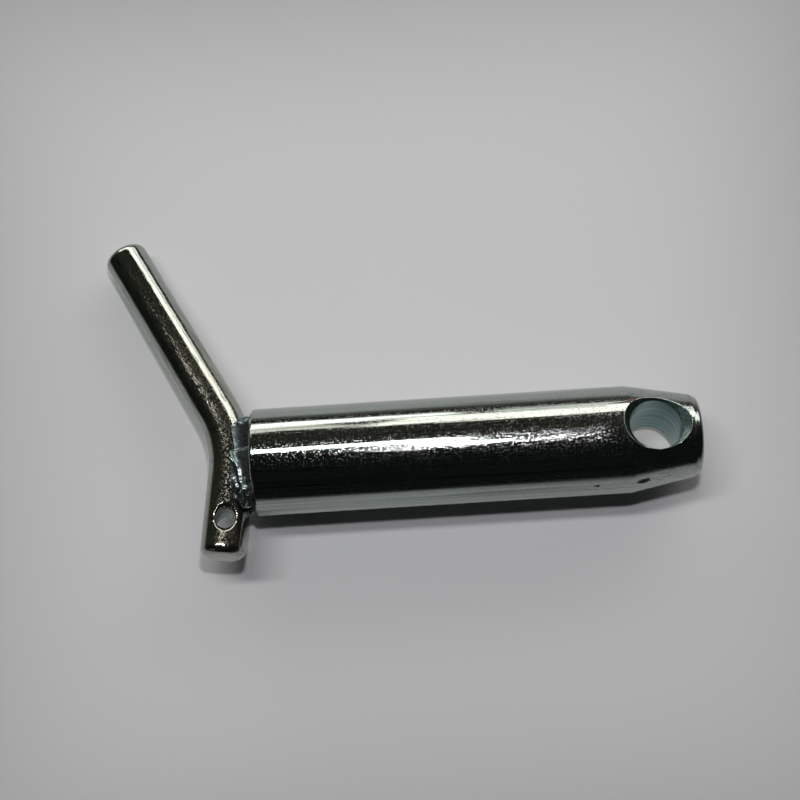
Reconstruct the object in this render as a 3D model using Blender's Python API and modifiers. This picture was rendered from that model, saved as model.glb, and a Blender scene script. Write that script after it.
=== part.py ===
# Top link pin: a solid round pin with a tapered nose and a cross hole for a linch pin, and a bent
# round bar welded across its head as a handle. The pin is modelled along +X, head to nose, with the
# handle in the XY plane. The whole is then rolled about the pin until the long arm touches the
# ground, which is how it comes to rest.

import math

import bmesh
import bpy
from mathutils import Vector

MM = 0.001
DEGREE = math.radians(1)

# Air between pieces that touch on the real pin
SEAT_GAP = 0.3 * MM

# Included angle of the tool that countersinks both holes
COUNTERSINK_ANGLE = 90 * DEGREE

# Pin
PIN_DIAMETER = 25.4 * MM
HEAD_EDGE_RADIUS = 1.2 * MM
TAPER_LENGTH = 16.6 * MM
NOSE_DIAMETER = 19.0 * MM
NOSE_EDGE_RADIUS = 1.5 * MM

# Cross hole through the nose, with a countersink square to the taper at each mouth
CROSS_HOLE_DIAMETER = 12.2 * MM
HEAD_TO_CROSS_HOLE = 87.6 * MM
CROSS_HOLE_TO_NOSE = 4.8 * MM
CROSS_COUNTERSINK_DIAMETER = 17.2 * MM

# Handle bar
BAR_DIAMETER = 10.6 * MM
BAR_END_RADIUS = 2.0 * MM
BEND_RADIUS = 28.0 * MM
BEND_ABOVE_PIN_AXIS = 0.7 * MM
UPPER_ARM_LENGTH = 48.9 * MM
UPPER_ARM_LEAN = 28.0 * DEGREE
LOWER_ARM_LENGTH = 20.4 * MM
LOWER_ARM_LEAN = 6.3 * DEGREE

# Chain hole through the lower arm, countersunk on both sides
CHAIN_HOLE_DIAMETER = 4.8 * MM
CHAIN_HOLE_TO_END = 8.4 * MM
CHAIN_COUNTERSINK_DIAMETER = 7.0 * MM
# The bar was welded on a little turned about its lower arm, so the hole leans towards the pin
CHAIN_HOLE_TURN = 6.0 * DEGREE

# Weld run in the groove between bar and head face, one on each side of the handle
WELD_TO_HEAD_EDGE = 1.7 * MM
WELD_BEAD_RADIUS = 2.9 * MM
WELD_BITE_IN_HEAD = 0.7 * MM
WELD_TIP_RADIUS = 0.4 * MM
WELD_RIPPLE_PITCH = 2.6 * MM
WELD_RIPPLE_HEIGHT = 0.35 * MM
WELD_RIPPLE_TRAIL = 1.4 * MM
WELD_SWELL_LENGTH = 10.0 * MM
WELD_SWELL_HEIGHT = 0.25 * MM

# Fineness of the round surfaces
PIN_SIDES = 96
BAR_SIDES = 48
CROSS_HOLE_SIDES = 48
CHAIN_HOLE_SIDES = 32
WELD_SIDES = 20
WELD_RINGS_A_RIPPLE = 5
EDGE_STEP = 18 * DEGREE
BEND_STEP = 3 * DEGREE
SHARP_ANGLE = 30 * DEGREE

# How far a cutter runs past the piece that it cuts
CUTTER_MARGIN = 2.0 * MM
MERGE_DISTANCE = 0.001 * MM

# Passes that settle the resting roll, which converges in three or four
ROLL_PASSES = 12

# Colour and roughness of the plating on turned, drawn and welded steel
PIN_FINISH = ((0.62, 0.64, 0.62), 0.18)
BAR_FINISH = ((0.60, 0.62, 0.60), 0.20)
WELD_FINISH = ((0.50, 0.53, 0.54), 0.30)

PIN_RADIUS = PIN_DIAMETER / 2
BAR_RADIUS = BAR_DIAMETER / 2
NOSE_RADIUS = NOSE_DIAMETER / 2
PIN_LENGTH = HEAD_TO_CROSS_HOLE + CROSS_HOLE_DIAMETER + CROSS_HOLE_TO_NOSE
TAPER_START = PIN_LENGTH - TAPER_LENGTH
TAPER_ANGLE = math.atan2(PIN_RADIUS - NOSE_RADIUS, TAPER_LENGTH)
CROSS_HOLE_X = HEAD_TO_CROSS_HOLE + CROSS_HOLE_DIAMETER / 2
BAR_AXIS_X = -(SEAT_GAP + BAR_RADIUS)
WELD_RUN_LENGTH = PIN_DIAMETER - 2 * WELD_TO_HEAD_EDGE
WELD_AXIS_X = WELD_BITE_IN_HEAD - WELD_BEAD_RADIUS


def clear_scene():
    for old in list(bpy.data.objects):
        bpy.data.objects.remove(old, do_unlink=True)


def new_collection(name):
    collection = bpy.data.collections.new(name)
    bpy.context.scene.collection.children.link(collection)
    return collection


def new_object(name, data, collection):
    created = bpy.data.objects.new(name, data)
    collection.objects.link(created)
    return created


def steel(name, finish):
    colour, roughness = finish
    material = bpy.data.materials.new(name)
    material.use_nodes = True
    shader = material.node_tree.nodes["Principled BSDF"]
    shader.inputs["Base Color"].default_value = (*colour, 1)
    shader.inputs["Metallic"].default_value = 1
    shader.inputs["Roughness"].default_value = roughness
    material.diffuse_color = (*colour, 1)
    return material


def arc(centre, radius, start, end, step=EDGE_STEP):
    # Points of an arc in a plane, ends included, at most one step apart
    steps = max(2, math.ceil(abs(end - start) / step))
    points = []
    for i in range(steps + 1):
        angle = start + (end - start) * i / steps
        points.append((centre[0] + radius * math.cos(angle), centre[1] + radius * math.sin(angle)))
    return points


def as_cutter(cutter):
    cutter.hide_render = True
    cutter.display_type = "WIRE"
    return cutter


def cut(piece, cutter):
    difference = piece.modifiers.new("cut " + cutter.name, "BOOLEAN")
    difference.operation = "DIFFERENCE"
    difference.solver = "EXACT"
    difference.object = cutter


def shade_round(mesh):
    mesh.shade_smooth()
    mesh.set_sharp_from_angle(angle=SHARP_ANGLE)


def drill(name, diameter, length, sides, collection):
    # A round cutter along Z, centred on its own origin
    mesh = bpy.data.meshes.new(name)
    shape = bmesh.new()
    bmesh.ops.create_cone(shape, cap_ends=True, segments=sides, radius1=diameter / 2,
                          radius2=diameter / 2, depth=length)
    shape.to_mesh(mesh)
    shape.free()
    return as_cutter(new_object(name, mesh, collection))


def countersink(name, diameter, sides, collection):
    # A cone that is as wide as diameter at its own origin and opens along +Z
    mesh = bpy.data.meshes.new(name)
    shape = bmesh.new()
    slope = math.tan(COUNTERSINK_ANGLE / 2)
    tip_depth = diameter / 2 / slope
    mouth_radius = diameter / 2 + CUTTER_MARGIN * slope
    bmesh.ops.create_cone(shape, cap_ends=True, segments=sides, radius1=0, radius2=mouth_radius,
                          depth=tip_depth + CUTTER_MARGIN)
    bmesh.ops.translate(shape, verts=shape.verts, vec=(0, 0, (CUTTER_MARGIN - tip_depth) / 2))
    shape.to_mesh(mesh)
    shape.free()
    return as_cutter(new_object(name, mesh, collection))


def pin_profile():
    # Half section, axis to axis, from the nose down the outer side to the head. The nose is at the top.
    nose_centre = (NOSE_RADIUS - NOSE_EDGE_RADIUS, PIN_LENGTH - NOSE_EDGE_RADIUS)
    head_centre = (PIN_RADIUS - HEAD_EDGE_RADIUS, HEAD_EDGE_RADIUS)
    points = [(0, PIN_LENGTH)]
    points += arc(nose_centre, NOSE_EDGE_RADIUS, 90 * DEGREE, TAPER_ANGLE)
    points.append((PIN_RADIUS, TAPER_START))
    points += arc(head_centre, HEAD_EDGE_RADIUS, 0, -90 * DEGREE)
    points.append((0, 0))
    return points


def chain_hole_profile():
    # The hole and its two countersinks in one, for a bar whose own surface is at BAR_RADIUS
    slope = math.tan(COUNTERSINK_ANGLE / 2)
    hole_radius = CHAIN_HOLE_DIAMETER / 2
    mouth_radius = CHAIN_COUNTERSINK_DIAMETER / 2
    top = (mouth_radius + CUTTER_MARGIN * slope, BAR_RADIUS + CUTTER_MARGIN)
    neck = (hole_radius, BAR_RADIUS - (mouth_radius - hole_radius) / slope)
    return [(0, top[1]), top, neck, (neck[0], -neck[1]), (top[0], -top[1]), (0, -top[1])]


def turned(name, profile, sides, collection):
    # A half section at +X, listed from top to bottom, turned round Z
    mesh = bpy.data.meshes.new(name)
    shape = bmesh.new()
    corners = [shape.verts.new((radius, 0, height)) for radius, height in profile]
    for first, second in zip(corners, corners[1:]):
        shape.edges.new((first, second))
    shape.to_mesh(mesh)
    shape.free()
    made = new_object(name, mesh, collection)
    screw = made.modifiers.new("turn", "SCREW")
    screw.steps = sides
    screw.render_steps = sides
    screw.use_merge_vertices = True
    screw.merge_threshold = MERGE_DISTANCE
    screw.use_smooth_shade = True
    return made


def make_pin(parts, cutters, base):
    pin = turned("pin", pin_profile(), PIN_SIDES, parts)
    pin.rotation_euler = (0, 90 * DEGREE, 0)
    pin.parent = base
    hole = drill("cross hole", CROSS_HOLE_DIAMETER, PIN_DIAMETER + 2 * CUTTER_MARGIN,
                 CROSS_HOLE_SIDES, cutters)
    hole.location = (CROSS_HOLE_X, 0, 0)
    hole.parent = base
    cut(pin, hole)
    onto_taper = max(0, CROSS_HOLE_X - TAPER_START)
    surface_radius = PIN_RADIUS - onto_taper * math.tan(TAPER_ANGLE)
    tilt = TAPER_ANGLE if onto_taper else 0
    for name, side in (("upper countersink", 1), ("lower countersink", -1)):
        mouth = countersink(name, CROSS_COUNTERSINK_DIAMETER, CROSS_HOLE_SIDES, cutters)
        mouth.location = (CROSS_HOLE_X, 0, side * surface_radius)
        mouth.rotation_euler = (0, 90 * DEGREE - side * (90 * DEGREE - tilt), 0)
        mouth.parent = base
        cut(pin, mouth)
    pin.data.materials.append(steel("zinc plated pin", PIN_FINISH))
    return pin


def bar_bend():
    # The bend's centre line in the XY plane, lower arm first. Its crown is its point nearest to the head.
    centre = (BAR_AXIS_X - BEND_RADIUS, BEND_ABOVE_PIN_AXIS)
    points = arc(centre, BEND_RADIUS, -LOWER_ARM_LEAN, UPPER_ARM_LEAN, BEND_STEP)
    return [Vector((x, y, 0)) for x, y in points]


def lower_arm_way():
    return Vector((-math.sin(LOWER_ARM_LEAN), -math.cos(LOWER_ARM_LEAN), 0))


def upper_arm_way():
    return Vector((-math.sin(UPPER_ARM_LEAN), math.cos(UPPER_ARM_LEAN), 0))


def rounded_end(start, way, length):
    # Centre-line points and radii, outward, where an arm's end is rounded over
    centre = (length - BAR_END_RADIUS, BAR_RADIUS - BAR_END_RADIUS)
    rounding = arc(centre, BAR_END_RADIUS, 90 * DEGREE, 0)
    return [(start + way * along, radius) for along, radius in rounding]


def bar_path():
    # Centre-line points and radii from the end of the lower arm, round the bend, to the end of the upper
    bend = bar_bend()
    lower = rounded_end(bend[0], lower_arm_way(), LOWER_ARM_LENGTH)
    upper = rounded_end(bend[-1], upper_arm_way(), UPPER_ARM_LENGTH)
    return lower[::-1] + [(point, BAR_RADIUS) for point in bend] + upper


def tube(name, path, sides, collection, extra_radius=0):
    # A closed round tube along points with radii of their own, as a mesh, with its caps welded on
    curve = bpy.data.curves.new(name + " curve", "CURVE")
    curve.dimensions = "3D"
    curve.bevel_depth = max(radius for place, radius in path) + extra_radius
    curve.bevel_resolution = (sides - 4) // 2
    curve.use_fill_caps = True
    spline = curve.splines.new("POLY")
    spline.points.add(len(path) - 1)
    for point, (place, radius) in zip(spline.points, path):
        point.co = (*place, 1)
        point.radius = (radius + extra_radius) / curve.bevel_depth
    guide = new_object(name + " guide", curve, collection)
    bpy.context.view_layer.update()
    evaluated = guide.evaluated_get(bpy.context.evaluated_depsgraph_get())
    mesh = bpy.data.meshes.new_from_object(evaluated)
    mesh.name = name
    shape = bmesh.new()
    shape.from_mesh(mesh)
    bmesh.ops.remove_doubles(shape, verts=shape.verts, dist=MERGE_DISTANCE)
    shape.to_mesh(mesh)
    shape.free()
    made = new_object(name, mesh, collection)
    made.matrix_world = guide.matrix_world
    bpy.data.objects.remove(guide)
    bpy.data.curves.remove(curve)
    return made


def make_handle_bar(parts, cutters, base):
    bar = tube("handle_bar", bar_path(), BAR_SIDES, parts)
    bar.parent = base
    place = bar_bend()[0] + lower_arm_way() * (LOWER_ARM_LENGTH - CHAIN_HOLE_TO_END)
    axis = new_object("chain hole axis", None, cutters)
    axis.location = place
    axis.rotation_euler = (0, CHAIN_HOLE_TURN, -LOWER_ARM_LEAN)
    axis.parent = base
    hole = as_cutter(turned("chain hole", chain_hole_profile(), CHAIN_HOLE_SIDES, cutters))
    hole.parent = axis
    cut(bar, hole)
    bar.data.materials.append(steel("zinc plated bar", BAR_FINISH))
    return bar


def weld_height():
    # The run's centre line lies on the bar's own surface, out in the groove, and clear of the other run
    aside = WELD_AXIS_X - BAR_AXIS_X
    on_bar = math.sqrt(BAR_RADIUS ** 2 - aside ** 2)
    clear = WELD_BEAD_RADIUS + WELD_RIPPLE_HEIGHT + WELD_SWELL_HEIGHT + SEAT_GAP
    return max(on_bar, clear)


def weld_path(side):
    # A straight run along the groove, rounded at both ends
    straight = WELD_RUN_LENGTH / 2 - WELD_BEAD_RADIUS
    rings = math.ceil(WELD_RINGS_A_RIPPLE * 2 * straight / WELD_RIPPLE_PITCH)
    run_out = arc((straight, 0), WELD_BEAD_RADIUS, 0, 90 * DEGREE)
    run_out = [(along, max(radius, WELD_TIP_RADIUS)) for along, radius in run_out]
    stations = [(-along, radius) for along, radius in run_out]
    for i in range(1, rings):
        stations.append((straight * (2 * i / rings - 1), WELD_BEAD_RADIUS))
    stations += run_out[::-1]
    height = side * weld_height()
    return [(Vector((WELD_AXIS_X, along, height)), radius) for along, radius in stations]


def ripple_weld(mesh, side):
    # Raises one crescent for each pool of weld metal, trailing at its edges, and a slower hand-laid swell
    height = side * weld_height()
    for vertex in mesh.vertices:
        across = Vector((vertex.co.x - WELD_AXIS_X, 0, vertex.co.z - height))
        lean = across.angle(Vector((0, 0, side)))
        pool = (vertex.co.y + WELD_RIPPLE_TRAIL * (1 - math.cos(lean))) / WELD_RIPPLE_PITCH
        ripple = WELD_RIPPLE_HEIGHT * abs(math.sin(math.pi * pool))
        swell = WELD_SWELL_HEIGHT * math.sin(2 * math.pi * vertex.co.y / WELD_SWELL_LENGTH)
        vertex.co += across.normalized() * (ripple + swell)


def make_weld_bead(name, side, parts, bar_room, head_room, base):
    bead = tube(name, weld_path(side), WELD_SIDES, parts)
    ripple_weld(bead.data, side)
    bead.parent = base
    cut(bead, bar_room)
    cut(bead, head_room)
    bead.data.materials.append(steel("zinc plated " + name, WELD_FINISH))
    return bead


def make_room_cutters(cutters, base):
    # The bar and the head, each grown by the seat gap, which trim the weld beads clear of them
    bar_room = as_cutter(tube("bar room", bar_path(), BAR_SIDES, cutters, SEAT_GAP))
    bar_room.parent = base
    depth = PIN_RADIUS
    head_room = drill("head room", PIN_DIAMETER + 2 * SEAT_GAP, depth, PIN_SIDES, cutters)
    head_room.rotation_euler = (0, 90 * DEGREE, 0)
    head_room.location = (depth / 2 - SEAT_GAP, 0, 0)
    head_room.parent = base
    return bar_room, head_room


def rest_roll():
    # Roll at which the upper arm's end and the pin touch the same level ground
    way = upper_arm_way()
    reach = bar_bend()[-1] + way * (UPPER_ARM_LENGTH - BAR_END_RADIUS)
    roll = 0
    for _ in range(ROLL_PASSES):
        drop = way.y * math.sin(roll)
        side_radius = BAR_RADIUS * math.sqrt(1 - drop * drop)
        roll = math.asin((PIN_RADIUS - side_radius) / reach.y)
    return roll


def stand_on_origin(base, parts):
    # Sets the centre of the part's footprint at the origin and its lowest point on the ground
    bpy.context.view_layer.update()
    graph = bpy.context.evaluated_depsgraph_get()
    corners = []
    for piece in parts:
        evaluated = piece.evaluated_get(graph)
        corners += [evaluated.matrix_world @ vertex.co for vertex in evaluated.data.vertices]
    low = Vector([min(corner[i] for corner in corners) for i in range(3)])
    high = Vector([max(corner[i] for corner in corners) for i in range(3)])
    base.location -= Vector(((low.x + high.x) / 2, (low.y + high.y) / 2, low.z))
    bpy.context.view_layer.update()


def build():
    clear_scene()
    parts = new_collection("top link pin")
    cutters = new_collection("cutters")
    base = new_object("resting pose", None, parts)
    base.rotation_euler = (-rest_roll(), 0, 0)
    pin = make_pin(parts, cutters, base)
    bar = make_handle_bar(parts, cutters, base)
    bar_room, head_room = make_room_cutters(cutters, base)
    upper = make_weld_bead("weld_bead_upper", 1, parts, bar_room, head_room, base)
    lower = make_weld_bead("weld_bead_lower", -1, parts, bar_room, head_room, base)
    for piece in (bar, upper, lower):
        shade_round(piece.data)
    stand_on_origin(base, (pin, bar, upper, lower))


build()
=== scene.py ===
import math

import bmesh
import bpy
from mathutils import Matrix, Vector, noise


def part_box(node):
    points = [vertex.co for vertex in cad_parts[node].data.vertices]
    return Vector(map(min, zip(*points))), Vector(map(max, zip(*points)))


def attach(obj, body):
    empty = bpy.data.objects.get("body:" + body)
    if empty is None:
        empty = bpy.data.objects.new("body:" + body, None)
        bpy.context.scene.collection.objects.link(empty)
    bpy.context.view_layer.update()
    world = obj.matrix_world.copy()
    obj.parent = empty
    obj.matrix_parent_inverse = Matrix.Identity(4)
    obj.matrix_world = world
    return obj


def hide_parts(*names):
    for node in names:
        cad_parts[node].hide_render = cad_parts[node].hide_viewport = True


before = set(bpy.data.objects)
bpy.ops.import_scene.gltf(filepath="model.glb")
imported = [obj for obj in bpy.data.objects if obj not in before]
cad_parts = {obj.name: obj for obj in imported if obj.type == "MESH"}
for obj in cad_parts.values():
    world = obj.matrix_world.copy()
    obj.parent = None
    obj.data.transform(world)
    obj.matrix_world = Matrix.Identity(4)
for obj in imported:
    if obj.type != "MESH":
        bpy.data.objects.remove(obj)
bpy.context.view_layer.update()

# Top link pin in bright zinc plate: a drawn and turned shank with a cross-drilled, tapered nose,
# and a bent bar welded across its head as a handle.
# Pieces are shaped in millimetres in the pin's own frame, +X from head to nose with the handle in
# the XY plane, and put in place at the end by intoPlace.

pinLow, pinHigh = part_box("pin")

mm = 0.001
turn = 2 * math.pi

lie = dict(
    roll=7.7357,  # degrees that the pin lies rolled over, until the long arm touches the floor
)
pinAxis = Vector((pinLow.x, (pinLow.y + pinHigh.y) / 2, (pinLow.z + pinHigh.z) / 2))
intoPlace = (Matrix.Translation(pinAxis) @ Matrix.Rotation(-math.radians(lie["roll"]), 4, "X")
             @ Matrix.Scale(mm, 4))


# small helpers

def linear(hexColour):
    # sRGB hex to a linear colour, opaque
    channels = [int(hexColour[i:i + 2], 16) / 255 for i in (1, 3, 5)]
    return (*[c / 12.92 if c <= 0.04045 else ((c + 0.055) / 1.055) ** 2.4 for c in channels], 1)


def perSize(size):
    # noise scale for a grain of that many millimetres
    return 1 / (size * mm)


def addNode(tree, kind, settings=None, links=None):
    node = tree.nodes.new(kind)
    for name, value in (settings or {}).items():
        if isinstance(name, int) or name in node.inputs:
            node.inputs[name].default_value = value
        else:
            setattr(node, name, value)
    for name, source in (links or {}).items():
        tree.links.new(source, node.inputs[name])
    return node


def arcPoints(centre, radius, start, end, steps):
    # points of an arc in the half section, (along, out) each, ends included, angles in degrees
    points = []
    for i in range(steps + 1):
        angle = math.radians(start + (end - start) * i / steps)
        points.append((centre[0] + radius * math.cos(angle), centre[1] + radius * math.sin(angle)))
    return points


def spinProfile(points, axis, across, sides):
    # turns a half section round an axis through the origin into a closed body
    shape = bmesh.new()
    corners = [shape.verts.new(axis * along + across * out) for along, out in points]
    edges = [shape.edges.new(pair) for pair in zip(corners, corners[1:])]
    bmesh.ops.spin(shape, geom=corners + edges, cent=(0, 0, 0), axis=axis, angle=turn, steps=sides,
                   use_merge=True)
    bmesh.ops.remove_doubles(shape, verts=shape.verts, dist=0.0005)
    bmesh.ops.recalc_face_normals(shape, faces=shape.faces)
    return shape


def asObject(name, shape, *materials):
    mesh = bpy.data.meshes.new(name)
    shape.to_mesh(mesh)
    shape.free()
    for material in materials:
        mesh.materials.append(material)
    made = bpy.data.objects.new(name, mesh)
    bpy.context.scene.collection.objects.link(made)
    return made


def sortMesh(mesh):
    # rebuilds a mesh in a fixed order, because a Boolean leaves its points and faces in another each run
    shape, fresh = bmesh.new(), bmesh.new()
    shape.from_mesh(mesh)
    corners = sorted(shape.verts, key=lambda vert: vert.co[:])
    rank = {vert: i for i, vert in enumerate(corners)}
    placed = [fresh.verts.new(vert.co) for vert in corners]
    rings = []
    for face in shape.faces:
        ring = [rank[vert] for vert in face.verts]
        first = ring.index(min(ring))
        rings.append((ring[first:] + ring[:first], face.material_index))
    for ring, slot in sorted(rings):
        fresh.faces.new([placed[i] for i in ring]).material_index = slot
    fresh.to_mesh(mesh)
    shape.free()
    fresh.free()


def cutWith(piece, *cutters):
    # cuts the cutters out of the piece, which takes their materials on the cut faces
    for cutter in cutters:
        cut = piece.modifiers.new(cutter.name, "BOOLEAN")
        cut.object = cutter
        cut.solver = "EXACT"
        cut.material_mode = "TRANSFER"
    bpy.context.view_layer.update()
    whole = bpy.data.meshes.new_from_object(piece.evaluated_get(bpy.context.evaluated_depsgraph_get()))
    sortMesh(whole)
    piece.modifiers.clear()
    old = piece.data
    piece.data = whole
    bpy.data.meshes.remove(old)
    for cutter in cutters:
        bpy.data.objects.remove(cutter)


def easeEdges(piece, isRim, width, lip, segments, sharpAngle):
    # rounds the sharp rims and raises their crown a little, as plating builds up on an edge
    shape = bmesh.new()
    shape.from_mesh(piece.data)
    bmesh.ops.remove_doubles(shape, verts=shape.verts, dist=width * 0.25)
    bmesh.ops.dissolve_degenerate(shape, edges=shape.edges, dist=width * 0.1)
    rims = [e for e in shape.edges
            if e.is_manifold and e.calc_face_angle(0) > math.radians(sharpAngle)
            and isRim((e.verts[0].co + e.verts[1].co) / 2)]
    old = set(shape.verts)
    bmesh.ops.bevel(shape, geom=rims, offset=width, offset_type="OFFSET", segments=segments,
                    profile=0.5, affect="EDGES", material=-1, clamp_overlap=False)
    shape.normal_update()
    bent = math.radians(4)  # every edge at a point of the crown is bent by more than this
    crown = [vert for vert in shape.verts
             if vert not in old and min(edge.calc_face_angle(0) for edge in vert.link_edges) > bent]
    for vert in crown:
        vert.co += vert.normal * lip
    shape.to_mesh(piece.data)
    shape.free()


def finishPiece(piece, node, sharpAngle=35):
    # places the mesh, shades it smooth and lets it stand for its CAD node
    piece.data.transform(intoPlace)
    piece.data.shade_smooth()
    piece.data.set_sharp_from_angle(angle=math.radians(sharpAngle))
    piece.data.update()
    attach(piece, "root")
    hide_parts(node)


# finishes

plate = dict(
    colour="#A9B4B0",  # zinc with a thin blue passivate: grey steel with a cold green cast
    cloudColour="#A2A8A0",
    cloudSize=7.0,  # mm, as are all sizes here
    roughness=0.05,
    lineWidth=0.5,  # lengthwise marks of the drawing die, drawn as coarse as they need to show
    lineLength=60.0,
    lineDepth=0.013,
    lineColour="#5F6866",
    lineShows=(0.52, 0.72),  # noise levels at which a line starts to darken, and is darkest
    grainSize=0.4,  # ripple of the plating
    grainDepth=0.004,
    pitSize=0.38,  # pits in the crust, drawn as coarse as they need to show
    pitShows=(0.62, 0.68),
    pitCrust=0.1,  # how much thicker they stand where the crust is thick
    patchShows=(0.35, 0.6),
    pitDepth=0.0025,
    pitRoughness=0.24,
    pitColour="#9C9B9E",
)
barPlate = dict(plate, lineDepth=0.008, pitCrust=0.13, pitColour="#A0988C")
weldPlate = dict(
    plate,
    colour="#8A979B",
    cloudColour="#77868B",
    roughness=0.26,
    lineDepth=0.004,
    lineColour="#77868B",
    pitRoughness=0.34,
)


def platedSteel(name, look, lineTurn, pitAxis, pitFrom, pitTo, pitLeast, stains=()):
    # Bright zinc plate over drawn steel: a sharp dark mirror with long hairlines, and a crust of tiny
    # pits that breaks up the edge of every highlight into sparkle. The crust thickens along pitAxis,
    # from pitLeast of its full amount at pitFrom to all of it at pitTo.
    material = bpy.data.materials.new(name)
    material.use_nodes = True
    tree = material.node_tree
    shader = tree.nodes["Principled BSDF"]
    shader.inputs["Metallic"].default_value = 1
    place = addNode(tree, "ShaderNodeTexCoord").outputs["Object"]

    # cloudy passivate, bluer here and there
    cloud = addNode(tree, "ShaderNodeTexNoise", {"Scale": perSize(look["cloudSize"]), "Detail": 3},
                    {"Vector": place}).outputs["Fac"]
    colour = addNode(tree, "ShaderNodeMix", {"data_type": "RGBA"}, {"Factor": cloud})
    colour.inputs[6].default_value = linear(look["colour"])
    colour.inputs[7].default_value = linear(look["cloudColour"])

    # hairlines along the stock
    turned = addNode(tree, "ShaderNodeMapping", {"Rotation": (0, 0, math.radians(lineTurn))},
                     {"Vector": place})
    drawn = addNode(tree, "ShaderNodeMapping", {"Scale": (look["lineWidth"] / look["lineLength"], 1, 1)},
                    {"Vector": turned.outputs["Vector"]})
    lines = addNode(tree, "ShaderNodeTexNoise", {"Scale": perSize(look["lineWidth"]), "Detail": 3},
                    {"Vector": drawn.outputs["Vector"]})
    bump = addNode(tree, "ShaderNodeBump", {"Distance": look["lineDepth"] * mm},
                   {"Height": lines.outputs["Fac"]})

    streak = addNode(tree, "ShaderNodeMapRange",
                     {"From Min": look["lineShows"][0], "From Max": look["lineShows"][1]},
                     {"Value": lines.outputs["Fac"]})
    streaked = addNode(tree, "ShaderNodeMix", {"data_type": "RGBA"},
                       {"Factor": streak.outputs["Result"]})
    streaked.inputs[7].default_value = linear(look["lineColour"])
    tree.links.new(colour.outputs[2], streaked.inputs[6])

    # grain of the plating
    grain = addNode(tree, "ShaderNodeTexNoise", {"Scale": perSize(look["grainSize"]), "Detail": 2},
                    {"Vector": place})
    bump = addNode(tree, "ShaderNodeBump", {"Distance": look["grainDepth"] * mm},
                   {"Height": grain.outputs["Fac"], "Normal": bump.outputs["Normal"]})

    # pits, in patches
    split = addNode(tree, "ShaderNodeSeparateXYZ", links={"Vector": place})
    thick = addNode(tree, "ShaderNodeMapRange",
                    {"From Min": pitFrom * mm, "From Max": pitTo * mm, "To Min": pitLeast},
                    {"Value": split.outputs[pitAxis]})
    patch = addNode(tree, "ShaderNodeMapRange",
                    {"From Min": look["patchShows"][0], "From Max": look["patchShows"][1], "To Min": 0.5},
                    {"Value": cloud})
    amount = addNode(tree, "ShaderNodeMath", {"operation": "MULTIPLY"},
                     {0: thick.outputs["Result"], 1: patch.outputs["Result"]})
    pits = addNode(tree, "ShaderNodeTexNoise", {"Scale": perSize(look["pitSize"]), "Detail": 2},
                   {"Vector": place})
    lifted = addNode(tree, "ShaderNodeMath", {"operation": "MULTIPLY_ADD", 1: look["pitCrust"]},
                     {0: amount.outputs["Value"], 2: pits.outputs["Fac"]})
    pit = addNode(tree, "ShaderNodeMapRange",
                  {"From Min": look["pitShows"][0], "From Max": look["pitShows"][1]},
                  {"Value": lifted.outputs["Value"]}).outputs["Result"]
    bump = addNode(tree, "ShaderNodeBump", {"Distance": look["pitDepth"] * mm, "invert": True},
                   {"Height": pit, "Normal": bump.outputs["Normal"]})
    shade = addNode(tree, "ShaderNodeMix", {"data_type": "RGBA"}, {"Factor": pit})
    shade.inputs[7].default_value = linear(look["pitColour"])
    tree.links.new(streaked.outputs[2], shade.inputs[6])
    rough = addNode(tree, "ShaderNodeMapRange",
                    {"To Min": look["roughness"], "To Max": look["pitRoughness"]}, {"Value": pit})
    skin, dullness = shade.outputs[2], rough.outputs["Result"]

    # burrs and blemishes, each a ragged spot round a point of the surface
    for stain in stains:
        centre = intoPlace @ Vector(stain["at"])
        frayed = addNode(tree, "ShaderNodeMapping", {"Scale": stain["squeeze"]}, {"Vector": place})
        middle = Vector(a * b for a, b in zip(centre, stain["squeeze"]))
        away = addNode(tree, "ShaderNodeVectorMath", {"operation": "DISTANCE", 1: middle},
                       {0: frayed.outputs["Vector"]})
        rim = addNode(tree, "ShaderNodeMath", {"operation": "MULTIPLY_ADD", 1: stain["fray"] * mm},
                      {0: grain.outputs["Fac"], 2: away.outputs["Value"]})
        halfFray = stain["fray"] / 2
        spot = addNode(tree, "ShaderNodeMapRange",
                       {"From Min": (stain["radius"] + halfFray) * mm,
                        "From Max": (stain["radius"] * 0.6 + halfFray) * mm},
                       {"Value": rim.outputs["Value"]})
        mix = addNode(tree, "ShaderNodeMix", {"data_type": "RGBA"}, {"Factor": spot.outputs["Result"]})
        tree.links.new(skin, mix.inputs[6])
        mix.inputs[7].default_value = linear(stain["colour"])
        duller = addNode(tree, "ShaderNodeMix", {"B": 0.5},
                         {"Factor": spot.outputs["Result"], "A": dullness})
        skin, dullness = mix.outputs[2], duller.outputs[0]

    tree.links.new(skin, shader.inputs["Base Color"])
    tree.links.new(dullness, shader.inputs["Roughness"])
    tree.links.new(bump.outputs["Normal"], shader.inputs["Normal"])
    return material


bore = dict(
    # painted reflection: a deeper teal for the hole mirroring itself
    colour="#86A7A5",
    grooveColour="#4A696B",
    grooveShows=(0.35, 0.65),
    roughness=0.26,
    grooveSize=0.75,
    grooveDepth=0.05,
    stretch=0.03,  # rings run round the hole
)
sink = dict(
    bore,
    colour="#80938F",
    grooveColour="#4A5F5D",
    roughness=0.36,
    grooveSize=0.45,
    grooveDepth=0.06,
    stretch=1,  # the marks of the chatter run no way
)
chainHole = dict(bore, colour="#9CA6A2", grooveColour="#727E7B", roughness=0.3)


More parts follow.
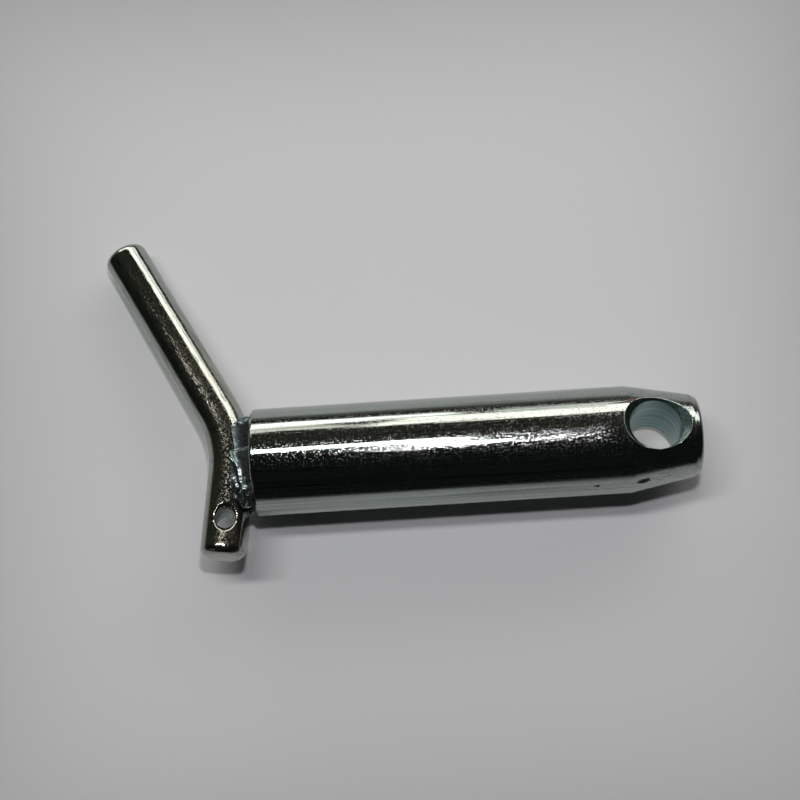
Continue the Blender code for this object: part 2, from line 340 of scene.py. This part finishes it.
def drilledSteel(name, look):
    # Drilled steel under the same plate: duller, with the drill's rings, and a teal tint painted into its
    # colour for the hole's reflection of itself
    material = bpy.data.materials.new(name)
    material.use_nodes = True
    tree = material.node_tree
    shader = tree.nodes["Principled BSDF"]
    shader.inputs["Metallic"].default_value = 1
    shader.inputs["Roughness"].default_value = look["roughness"]
    place = addNode(tree, "ShaderNodeTexCoord").outputs["Object"]
    upright = addNode(tree, "ShaderNodeMapping", {"Rotation": (math.radians(lie["roll"]), 0, 0)},
                      {"Vector": place})
    squeezed = addNode(tree, "ShaderNodeMapping", {"Scale": (look["stretch"], look["stretch"], 1)},
                       {"Vector": upright.outputs["Vector"]})
    grooves = addNode(tree, "ShaderNodeTexNoise", {"Scale": perSize(look["grooveSize"]), "Detail": 3},
                      {"Vector": squeezed.outputs["Vector"]})
    bump = addNode(tree, "ShaderNodeBump", {"Distance": look["grooveDepth"] * mm},
                   {"Height": grooves.outputs["Fac"]})
    shade = addNode(tree, "ShaderNodeMapRange",
                    {"From Min": look["grooveShows"][0], "From Max": look["grooveShows"][1]},
                    {"Value": grooves.outputs["Fac"]})
    colour = addNode(tree, "ShaderNodeMix", {"data_type": "RGBA"}, {"Factor": shade.outputs["Result"]})
    colour.inputs[6].default_value = linear(look["grooveColour"])
    colour.inputs[7].default_value = linear(look["colour"])
    tree.links.new(colour.outputs[2], shader.inputs["Base Color"])
    tree.links.new(bump.outputs["Normal"], shader.inputs["Normal"])
    return material


# pin

pin = dict(
    diameter=25.4,
    length=104.6,
    headEdgeRadius=0.8,
    taperLength=16.6,
    noseDiameter=19.0,
    noseEdgeRadius=1.5,
    holeX=93.7,  # from the head to the middle of the cross hole
    holeDiameter=12.2,
    countersinkDiameter=16.6,
    countersinkShift=(0.25, 0.45),  # off the hole's middle, as it was dressed by hand, on the upper side
    countersinkAngle=90,  # degrees, included
    ringDepth=0.035,  # of the rings that the drill's lips leave in the wall
    fineRingDepth=0.02,
    chatter=0.14,  # how far the countersink's nose side is off its cone
    rimWidth=0.12,
    sides=240,
)
blemishes = [
    # a black burr and a dark nick on the camera's side of the taper, and a rusty rim at the countersink
    dict(at=(90.3, -11.63, 3.9), radius=1.1, fray=1.6, squeeze=(0.5, 1, 1), colour="#241F1B"),
    dict(at=(79.4, -12.11, 3.8), radius=0.5, fray=0.8, squeeze=(0.6, 1, 1), colour="#3A3431"),
    dict(at=(89.1, 5.7, 11.1), radius=0.7, fray=1.0, squeeze=(1, 1, 1), colour="#7D5040"),
]
platedPin = platedSteel("zincPlatedPin", plate, lineTurn=0, pitAxis="X", pitFrom=-20, pitTo=50,
                        pitLeast=0.35, stains=blemishes)
platedBore = drilledSteel("zincPlatedBore", bore)
platedSink = drilledSteel("zincPlatedCountersink", sink)


def pinSection():
    radius, noseRadius = pin["diameter"] / 2, pin["noseDiameter"] / 2
    taperX = pin["length"] - pin["taperLength"]
    lean = math.degrees(math.atan2(radius - noseRadius, pin["taperLength"]))
    head, nose = pin["headEdgeRadius"], pin["noseEdgeRadius"]
    points = [(0, 0), (0, radius * 0.5)]
    points += arcPoints((head, radius - head), head, 180, 90, 8)
    shankSteps = 12
    points += [(taperX * i / shankSteps, radius) for i in range(1, shankSteps)]
    points.append((taperX, radius))
    taperSteps = 60  # close together, so that the holes are cut cleanly
    last = pin["length"] - nose
    for i in range(1, taperSteps):
        along = taperX + (last - taperX) * i / taperSteps
        points.append((along, radius - (along - taperX) * math.tan(math.radians(lean))))
    points += arcPoints((last, noseRadius - nose), nose, 90 - lean, 0, 8)
    points.append((pin["length"], 0))
    return points


def makeHoleCutter():
    # the drill, with the rings that its lips leave in the wall
    half = pin["diameter"] / 2 + 2
    radius = pin["holeDiameter"] / 2
    steps = 90
    wall = []
    for i in range(steps + 1):
        along = half - 2 * half * i / steps
        coarse = noise.noise(Vector((0, 0, along * 1.1)))
        fine = noise.noise(Vector((5, 0, along * 3.1)))
        wall.append((along, radius + (pin["ringDepth"] * coarse + pin["fineRingDepth"] * fine)))
    points = [(half, 0)] + wall + [(-half, 0)]
    shape = spinProfile(points, Vector((0, 0, 1)), Vector((1, 0, 0)), 128)
    bmesh.ops.translate(shape, verts=shape.verts, vec=(pin["holeX"], 0, 0))
    return asObject("drill", shape, platedBore)


def makeCountersinkCutter(side):
    # a cone square to the taper, a little chattered on the nose side
    radius = pin["countersinkDiameter"] / 2
    slope = math.tan(math.radians(pin["countersinkAngle"] / 2))
    lean = math.atan2(pin["diameter"] / 2 - pin["noseDiameter"] / 2, pin["taperLength"])
    taperX = pin["length"] - pin["taperLength"]
    surface = pin["diameter"] / 2 - (pin["holeX"] - taperX) * math.tan(lean)
    proud, steps = 2, 24
    top, depth = radius + proud * slope, radius / slope
    points = [(proud, 0), (proud, top)]
    points += [(proud - i * (depth + proud) / steps, top * (1 - i / steps)) for i in range(1, steps)]
    points.append((-depth, 0))
    shape = spinProfile(points, Vector((0, 0, side)), Vector((1, 0, 0)), 128)
    for vert in shape.verts:
        rough = max(0, vert.co.x) / radius * pin["chatter"]
        vert.co.z += side * rough * noise.noise(Vector((vert.co.x, vert.co.y, 0)) * 1.4)
    bmesh.ops.rotate(shape, verts=shape.verts, matrix=Matrix.Rotation(side * lean, 3, "Y"))
    shift = pin["countersinkShift"] if side > 0 else (0, 0)
    bmesh.ops.translate(shape, verts=shape.verts,
                        vec=(pin["holeX"] + shift[0], shift[1], side * surface))
    return asObject("countersink", shape, platedSink)


def makePin():
    body = spinProfile(pinSection(), Vector((1, 0, 0)), Vector((0, 1, 0)), pin["sides"])
    piece = asObject("turnedPin", body, platedPin)
    cutWith(piece, makeHoleCutter(), makeCountersinkCutter(1), makeCountersinkCutter(-1))
    holeFrom = pin["length"] - pin["taperLength"] - 4
    holeTo = pin["length"] - 1.6
    easeEdges(piece, lambda at: holeFrom < at.x < holeTo, width=pin["rimWidth"], lip=0, segments=2,
              sharpAngle=25)
    finishPiece(piece, "pin")


makePin()
print("pin made")


# handle bar

bar = dict(
    diameter=10.6,
    endRadius=2.0,
    gap=0.3,  # off the head face, where the weld holds it
    bendRadius=28.0,
    bendAbovePin=0.7,
    upperLength=48.9,
    upperLean=28.0,
    lowerLength=20.4,
    lowerLean=6.3,
    chainHoleDiameter=4.8,
    chainHoleToEnd=8.4,
    chainHoleCountersink=6.7,
    chainHoleTurn=6.0,
    rimWidth=0.25,
    rimLip=0.08,
    sides=144,
)
platedBar = platedSteel("zincPlatedBar", barPlate, lineTurn=-90 - bar["upperLean"], pitAxis="Y",
                        pitFrom=35, pitTo=5, pitLeast=0.1)
chainBore = drilledSteel("zincPlatedChainHole", chainHole)
barX = -(bar["gap"] + bar["diameter"] / 2)
bendCentre = Vector((barX - bar["bendRadius"], bar["bendAbovePin"], 0))


def bendPoint(angle):
    angle = math.radians(angle)
    return bendCentre + Vector((math.cos(angle), math.sin(angle), 0)) * bar["bendRadius"]


def armWay(side, lean):
    # which way an arm points, the upper with side 1 and the lower with side -1
    lean = math.radians(lean)
    return Vector((-math.sin(lean), side * math.cos(lean), 0))


def lowerArmPoint(fromBend):
    return bendPoint(-bar["lowerLean"]) + armWay(-1, bar["lowerLean"]) * fromBend


def turnAbout(shape, degrees, axis):
    bmesh.ops.rotate(shape, verts=shape.verts, matrix=Matrix.Rotation(math.radians(degrees), 3, axis))


def extrudeArm(shape, ring, way, length, steps):
    # pulls a ring of edges along a straight arm in even steps and gives back its end ring, the last
    # step long enough for the end to be rounded
    last = bar["endRadius"] * 1.1
    for step in [(length - last) / steps] * steps + [last]:
        made = bmesh.ops.extrude_edge_only(shape, edges=ring)["geom"]
        ring = [e for e in made if isinstance(e, bmesh.types.BMEdge) and len(e.link_faces) == 1]
        moved = [v for v in made if isinstance(v, bmesh.types.BMVert)]
        bmesh.ops.translate(shape, verts=moved, vec=way * step)
    return ring


def makeBar():
    # a ring where the bend starts, pulled out into the lower arm one way, and spun and pulled out into
    # the upper arm the other way
    shape = bmesh.new()
    bmesh.ops.create_circle(shape, segments=bar["sides"], radius=bar["diameter"] / 2, cap_ends=False)
    turnAbout(shape, 90, "X")
    turnAbout(shape, -bar["lowerLean"], "Z")
    bmesh.ops.translate(shape, verts=shape.verts, vec=bendPoint(-bar["lowerLean"]))
    first = shape.edges[:]
    firstEnds = extrudeArm(shape, first, armWay(-1, bar["lowerLean"]), bar["lowerLength"], steps=34)
    bend = math.radians(bar["upperLean"] + bar["lowerLean"])
    spun = bmesh.ops.spin(shape, geom=first + list({v for e in first for v in e.verts}), cent=bendCentre,
                          axis=(0, 0, 1), angle=bend, steps=48)
    lastRing = [e for e in spun["geom_last"] if isinstance(e, bmesh.types.BMEdge)]
    lastEnds = extrudeArm(shape, lastRing, armWay(1, bar["upperLean"]), bar["upperLength"], steps=30)
    for ring in (firstEnds, lastEnds):
        bmesh.ops.contextual_create(shape, geom=ring)
    bmesh.ops.remove_doubles(shape, verts=shape.verts, dist=0.001)
    bmesh.ops.recalc_face_normals(shape, faces=shape.faces)
    rims = [e for e in shape.edges if e.calc_face_angle(0) > math.radians(60)]
    bmesh.ops.bevel(shape, geom=rims, offset=bar["endRadius"], segments=12, profile=0.5, affect="EDGES",
                    material=-1, clamp_overlap=False)
    return shape


def makeChainHoleCutter(place):
    # the drill, with both countersinks on it
    radius, neck = bar["chainHoleCountersink"] / 2, bar["chainHoleDiameter"] / 2
    surface = bar["diameter"] / 2
    half = surface + 2
    depth = surface - (radius - neck)
    wide = radius + 2
    points = [(half, 0), (half, wide), (depth, neck), (-depth, neck), (-half, wide), (-half, 0)]
    shape = spinProfile(points, Vector((0, 0, 1)), Vector((1, 0, 0)), 96)
    for face in shape.faces:
        face.material_index = 1 if abs(face.calc_center_median().z) > depth else 0
    turnAbout(shape, bar["chainHoleTurn"], "Y")
    turnAbout(shape, -bar["lowerLean"], "Z")
    bmesh.ops.translate(shape, verts=shape.verts, vec=place)
    return asObject("chainDrill", shape, chainBore, platedBar)


def makeHandle():
    piece = asObject("bentBar", makeBar(), platedBar)
    place = lowerArmPoint(bar["lowerLength"] - bar["chainHoleToEnd"])
    cutWith(piece, makeChainHoleCutter(place))
    nearHole = bar["chainHoleCountersink"] * 0.7
    easeEdges(piece, lambda at: (at - place).xy.length < nearHole, width=bar["rimWidth"],
              lip=bar["rimLip"], segments=3, sharpAngle=20)
    finishPiece(piece, "handle_bar")


makeHandle()
print("handle bar made")


# weld beads

weld = dict(
    runUp=10.4,  # from the pin's axis to its upper end, and to its lower end
    runDown=12.0,
    endUp=(7.5, 10.4),  # where its edge on the bar starts to draw back towards an end, and has done so
    endDown=(6.5, 11),
    bite=0.15,  # how far it runs into the bar and the head
    toeLean=(12, 40),  # degrees round the bar from its top to the weld's edge, mid run and at the ends
    toeDrop=8,  # degrees that the last bead spreads further over the bar
    headHeight=7.6,  # where it ends on the head face
    rootHeight=1.5,  # of its hidden underside over the pin's middle plane
    sag=0.55,
    ridgeStart=1.6,  # along the run, where the last bead begins
    ridgeLean=0.35,  # how much its crest wanders from the bar to the head for each mm of run
    ridgeHeight=0.8,
    ridgeWidth=0.5,
    ridgeFall=0.22,  # share of its height that it loses for each mm of run
    lumpsFrom=(-3, -7.5),  # along the run, where the last bead's lumps begin, and are full
    lumpHeight=1.1,
    dropAt=(8.6, 3.4),  # a drop of metal, along the run and out from the bar's axis
    dropHeight=0.4,
    dropSize=0.4,  # mm2
    around=120,
    along=220,
)
platedWeld = platedSteel("zincPlatedWeld", weldPlate, lineTurn=0, pitAxis="Y", pitFrom=-15, pitTo=-25,
                         pitLeast=0.2)


def smoothStep(low, high, value):
    t = max(0, min(1, (value - low) / (high - low)))
    return t * t * (3 - 2 * t)


def barAxisAt(along):
    # how far out the bar's axis lies beside a point of the head face
    low = bendPoint(-bar["lowerLean"])
    if along < low.y:
        return low.x + (along - low.y) * math.tan(math.radians(bar["lowerLean"]))
    rise = along - bendCentre.y
    return bendCentre.x + math.sqrt(bar["bendRadius"] ** 2 - rise ** 2)


def ragged(along, across, seed, size):
    return noise.noise(Vector((along, across, seed)) / size)


def weldPoint(along, share, seed):
    # a point of the closed weld skin: up to openShare of its round it crosses the open face from bar to
    # head, and the rest runs back through the head, the bottom of the groove and the bar
    openShare = 0.7
    axisX, barRadius = barAxisAt(along), bar["diameter"] / 2
    bite, foot = weld["bite"], weld["rootHeight"]
    ends = smoothStep(*weld["endUp"], along) if along > 0 else smoothStep(*weld["endDown"], -along)
    lastBead = smoothStep(weld["ridgeStart"] + 0.6, weld["ridgeStart"] - 0.6, along)
    midLean = weld["toeLean"][0] - weld["toeDrop"] * lastBead
    toe = math.radians(midLean + (weld["toeLean"][1] - midLean) * ends
                       + (2 + 6 * ends) * ragged(along, 0, seed, 2.6))
    start = Vector((axisX + (barRadius - bite) * math.sin(toe), 0, (barRadius - bite) * math.cos(toe)))
    flat = pin["diameter"] / 2 - pin["headEdgeRadius"]
    reach = math.sqrt(max(4, flat ** 2 - along ** 2))
    end = Vector((bite, 0, min(weld["headHeight"] + 0.25 * ragged(along, 9, seed, 2.5), reach)))
    if share > openShare:
        bottom = Vector((bite, 0, foot))
        inner = Vector((axisX + math.sqrt(barRadius ** 2 - foot ** 2) - bite, 0, foot))
        t = (share - openShare) / (1 - openShare) * 3
        corners = [end, bottom, inner, start]
        i = min(2, int(t))
        return corners[i].lerp(corners[i + 1], t - i)
    t = share / openShare
    chord = end - start
    out = Vector((-chord.z, 0, chord.x)).normalized()
    middle = 4 * t * (1 - t)
    across = start.x + chord.x * t
    # smooth, hollow run first, then the ridge and the lumps of the last bead
    crest = (axisX + 0.6 + weld["ridgeLean"] * (weld["ridgeStart"] - along)
             + 0.3 * ragged(along, 3, seed, 2.0))
    ridge = weld["ridgeHeight"] * lastBead * math.exp(-((across - crest) / weld["ridgeWidth"]) ** 2)
    fall = max(0.2, 1.4 - weld["ridgeFall"] * (weld["ridgeStart"] - along))
    ridge *= fall + 0.3 * ragged(along, 6, seed, 1.6)
    lumps = weld["lumpHeight"] * smoothStep(*weld["lumpsFrom"], along)
    height = -weld["sag"] * middle * (1 - 0.6 * lastBead) + ridge * min(1, 6 * middle)
    height += lumps * ragged(along, across, seed + 20, 1.9) * middle
    height += (0.02 + 0.1 * lastBead) * ragged(along, across, seed + 30, 1.6) * min(1, 4 * middle)
    dropAlong, dropOut = along - weld["dropAt"][0], across - axisX - weld["dropAt"][1]
    height += weld["dropHeight"] * math.exp(-(dropAlong ** 2 + dropOut ** 2) / weld["dropSize"])
    return start + chord * t + out * height


def makeWeld(name, node, side, seed):
    # a ball whose rings become the weld's sections, full along the run and drawn in to its core at the ends
    fullness = 9
    shape = bmesh.new()
    bmesh.ops.create_uvsphere(shape, u_segments=weld["around"], v_segments=weld["along"], radius=1)
    for vert in shape.verts:
        share = (math.atan2(vert.co.y, vert.co.x) / turn) % 1
        run = math.asin(max(-1, min(1, vert.co.z))) / (turn / 4)
        along = run * (weld["runUp"] if run > 0 else weld["runDown"])
        close = math.sqrt(max(0, 1 - abs(run) ** fullness))
        core = Vector((barAxisAt(along) * 0.35, 0, 3.2))
        at = core + (weldPoint(along, share, seed) - core) * close
        vert.co = Vector((at.x, along, at.z * side))
    bmesh.ops.remove_doubles(shape, verts=shape.verts, dist=0.0005)
    bmesh.ops.recalc_face_normals(shape, faces=shape.faces)
    piece = asObject(name, shape, platedWeld)
    finishPiece(piece, node, sharpAngle=180)


makeWeld("weldUpper", "weld_bead_upper", side=1, seed=3)
makeWeld("weldLower", "weld_bead_lower", side=-1, seed=17)
print("weld beads made")


# floor, lamps and camera

paper = dict(
    size=4.0,  # metres
    colour="#C2C3C6",
    farColour="#2A2A2A",  # it falls away into shade beyond the photograph
    halfWidth=0.055,
    fade=0.17,
    cornerEase=0.05,
    roughness=0.7,
    specular=0.2,
)


def makeFloor():
    shape = bmesh.new()
    bmesh.ops.create_grid(shape, x_segments=1, y_segments=1, size=paper["size"] / 2)
    material = bpy.data.materials.new("mattePaper")
    material.use_nodes = True
    tree = material.node_tree
    shader = tree.nodes["Principled BSDF"]
    shader.inputs["Roughness"].default_value = paper["roughness"]
    shader.inputs["Specular IOR Level"].default_value = paper["specular"]
    place = addNode(tree, "ShaderNodeTexCoord").outputs["Object"]
    size = addNode(tree, "ShaderNodeVectorMath", {"operation": "ABSOLUTE"}, {0: place})
    split = addNode(tree, "ShaderNodeSeparateXYZ", links={"Vector": size.outputs["Vector"]})
    away = addNode(tree, "ShaderNodeMath", {"operation": "SMOOTH_MAX", 2: paper["cornerEase"]},
                   {0: split.outputs["X"], 1: split.outputs["Y"]})
    far = addNode(tree, "ShaderNodeMapRange",
                  {"interpolation_type": "SMOOTHSTEP", "From Min": paper["halfWidth"],
                   "From Max": paper["halfWidth"] + paper["fade"]},
                  {"Value": away.outputs["Value"]})
    colour = addNode(tree, "ShaderNodeMix", {"data_type": "RGBA"}, {"Factor": far.outputs["Result"]})
    colour.inputs[6].default_value = linear(paper["colour"])
    colour.inputs[7].default_value = linear(paper["farColour"])
    tree.links.new(colour.outputs[2], shader.inputs["Base Color"])
    asObject("floor", shape, material)


def addLamp(name, look):
    # an area lamp by its place and its brightness, the value that a mirror would show
    lamp = bpy.data.lights.new(name, "AREA")
    lamp.shape = "RECTANGLE"
    lamp.size, lamp.size_y = look["size"]
    lamp.energy = look["brightness"] * math.pi * look["size"][0] * look["size"][1]
    lamp.color = linear(look["colour"])[:3]
    made = bpy.data.objects.new(name, lamp)
    bpy.context.scene.collection.objects.link(made)
    place = lampTarget + Vector(look["place"])
    way = Vector((0, 0, 1)) if look["level"] else (place - lampTarget).normalized()
    across = Vector((0, 0, 1)).cross(way).normalized() if way.z < 0.999 else Vector((1, 0, 0))
    facing = Matrix((across, way.cross(across), way)).transposed().to_4x4()
    made.matrix_world = Matrix.Translation(place) @ facing
    made.visible_camera = False


# places in metres from lampTarget, a point of the pin's axis, and sizes in metres
lampTarget = pinAxis + Vector((0.04, 0, 0))
lamps = dict(
    # the camera's own lamp, which lights the floor and the right half of the shank's lower band
    cameraLamp=dict(place=(0.0190, 0.0265, 0.42), size=(0.030, 0.0165), level=False, brightness=385,
                    colour="#FFFBFE"),
    # a tube on the ceiling, mirrored in the left half of the lower band
    tube=dict(place=(-0.335, 0.270, 1.17), size=(0.73, 0.10), level=True, brightness=27.5,
              colour="#FDFFFA"),
    # windows beyond the pin, mirrored in the shank's upper band
    windowLow=dict(place=(-0.47, 1.434, 0.438), size=(1.08, 0.34), level=False, brightness=3.3,
                   colour="#FFFCF7"),
    windowLowRight=dict(place=(0.52, 1.434, 0.438), size=(0.9, 0.34), level=False, brightness=1.7,
                        colour="#FFFCF7"),
    windowHigh=dict(place=(-0.53, 1.292, 0.761), size=(0.9, 0.34), level=False, brightness=1.5,
                    colour="#FFFBF0"),
    windowHighRight=dict(place=(0.42, 1.272, 0.795), size=(1.0, 0.42), level=False, brightness=2.9,
                         colour="#FFFBF0"),
    # a window to the right, mirrored in the handle bar
    windowRight=dict(place=(1.02, 0.90, 0.60), size=(0.7, 0.7), level=False, brightness=2.3,
                     colour="#FFFBF4"),
)


room = dict(
    front=(0.008, 0.0095, 0.009, 1),  # linear, near black
    back=(0.034, 0.034, 0.026, 1),  # a dull ceiling
    walls=(0.2, 0.2, 0.19, 1),  # pale, off to the diagonals beyond the head
    rise=(-0.1, 0.5),  # from front to back
    wallReach=(-0.40, -0.47),
    wallFoot=(0.05, 0.2),
)


def makeWorld():
    # a dim room, which the polished plate mirrors
    world = bpy.data.worlds.new("dimRoom")
    bpy.context.scene.world = world
    world.use_nodes = True
    tree = world.node_tree
    way = addNode(tree, "ShaderNodeTexCoord").outputs["Generated"]
    split = addNode(tree, "ShaderNodeSeparateXYZ", links={"Vector": way})
    rise = addNode(tree, "ShaderNodeMapRange",
                   {"From Min": room["rise"][0], "From Max": room["rise"][1]},
                   {"Value": split.outputs["Y"]})
    mix = addNode(tree, "ShaderNodeMix", {"data_type": "RGBA"}, {"Factor": rise.outputs["Result"]})
    mix.inputs[6].default_value = room["front"]
    mix.inputs[7].default_value = room["back"]
    ahead = addNode(tree, "ShaderNodeMath", {"operation": "ABSOLUTE"}, {0: split.outputs["Y"]})
    product = addNode(tree, "ShaderNodeMath", {"operation": "MULTIPLY"},
                      {0: ahead.outputs["Value"], 1: split.outputs["X"]})
    diagonal = addNode(tree, "ShaderNodeMapRange",
                       {"interpolation_type": "SMOOTHSTEP", "From Min": room["wallReach"][0],
                        "From Max": room["wallReach"][1]}, {"Value": product.outputs["Value"]})
    height = addNode(tree, "ShaderNodeMapRange",
                     {"interpolation_type": "SMOOTHSTEP", "From Min": room["wallFoot"][0],
                      "From Max": room["wallFoot"][1]}, {"Value": split.outputs["Z"]})
    wall = addNode(tree, "ShaderNodeMath", {"operation": "MULTIPLY"},
                   {0: diagonal.outputs["Result"], 1: height.outputs["Result"]})
    lit = addNode(tree, "ShaderNodeMix", {"data_type": "RGBA"}, {"Factor": wall.outputs["Value"]})
    lit.inputs[7].default_value = room["walls"]
    tree.links.new(mix.outputs[2], lit.inputs[6])
    tree.links.new(lit.outputs[2], tree.nodes["Background"].inputs["Color"])


camera = dict(
    offset=(40.33, -67.44, 348.93),  # mm from the pin's axis at its head face
    pitch=0.2266, yaw=0.0145, roll=-0.063,  # radians, from looking straight down
    lens=67.66,
)


def makeCamera():
    data = bpy.data.cameras.new("camera")
    data.lens = camera["lens"]
    data.sensor_width = 36
    data.clip_start = 0.01
    made = bpy.data.objects.new("camera", data)
    bpy.context.scene.collection.objects.link(made)
    facing = (Matrix.Rotation(camera["pitch"], 4, "X") @ Matrix.Rotation(camera["yaw"], 4, "Y")
              @ Matrix.Rotation(camera["roll"], 4, "Z"))
    made.matrix_world = Matrix.Translation(pinAxis + Vector(camera["offset"]) * mm) @ facing
    bpy.context.scene.camera = made


makeFloor()
for name, look in lamps.items():
    addLamp(name, look)
makeWorld()
makeCamera()
bpy.context.scene.view_settings.view_transform = "Standard"
print("floor, lamps and camera made")
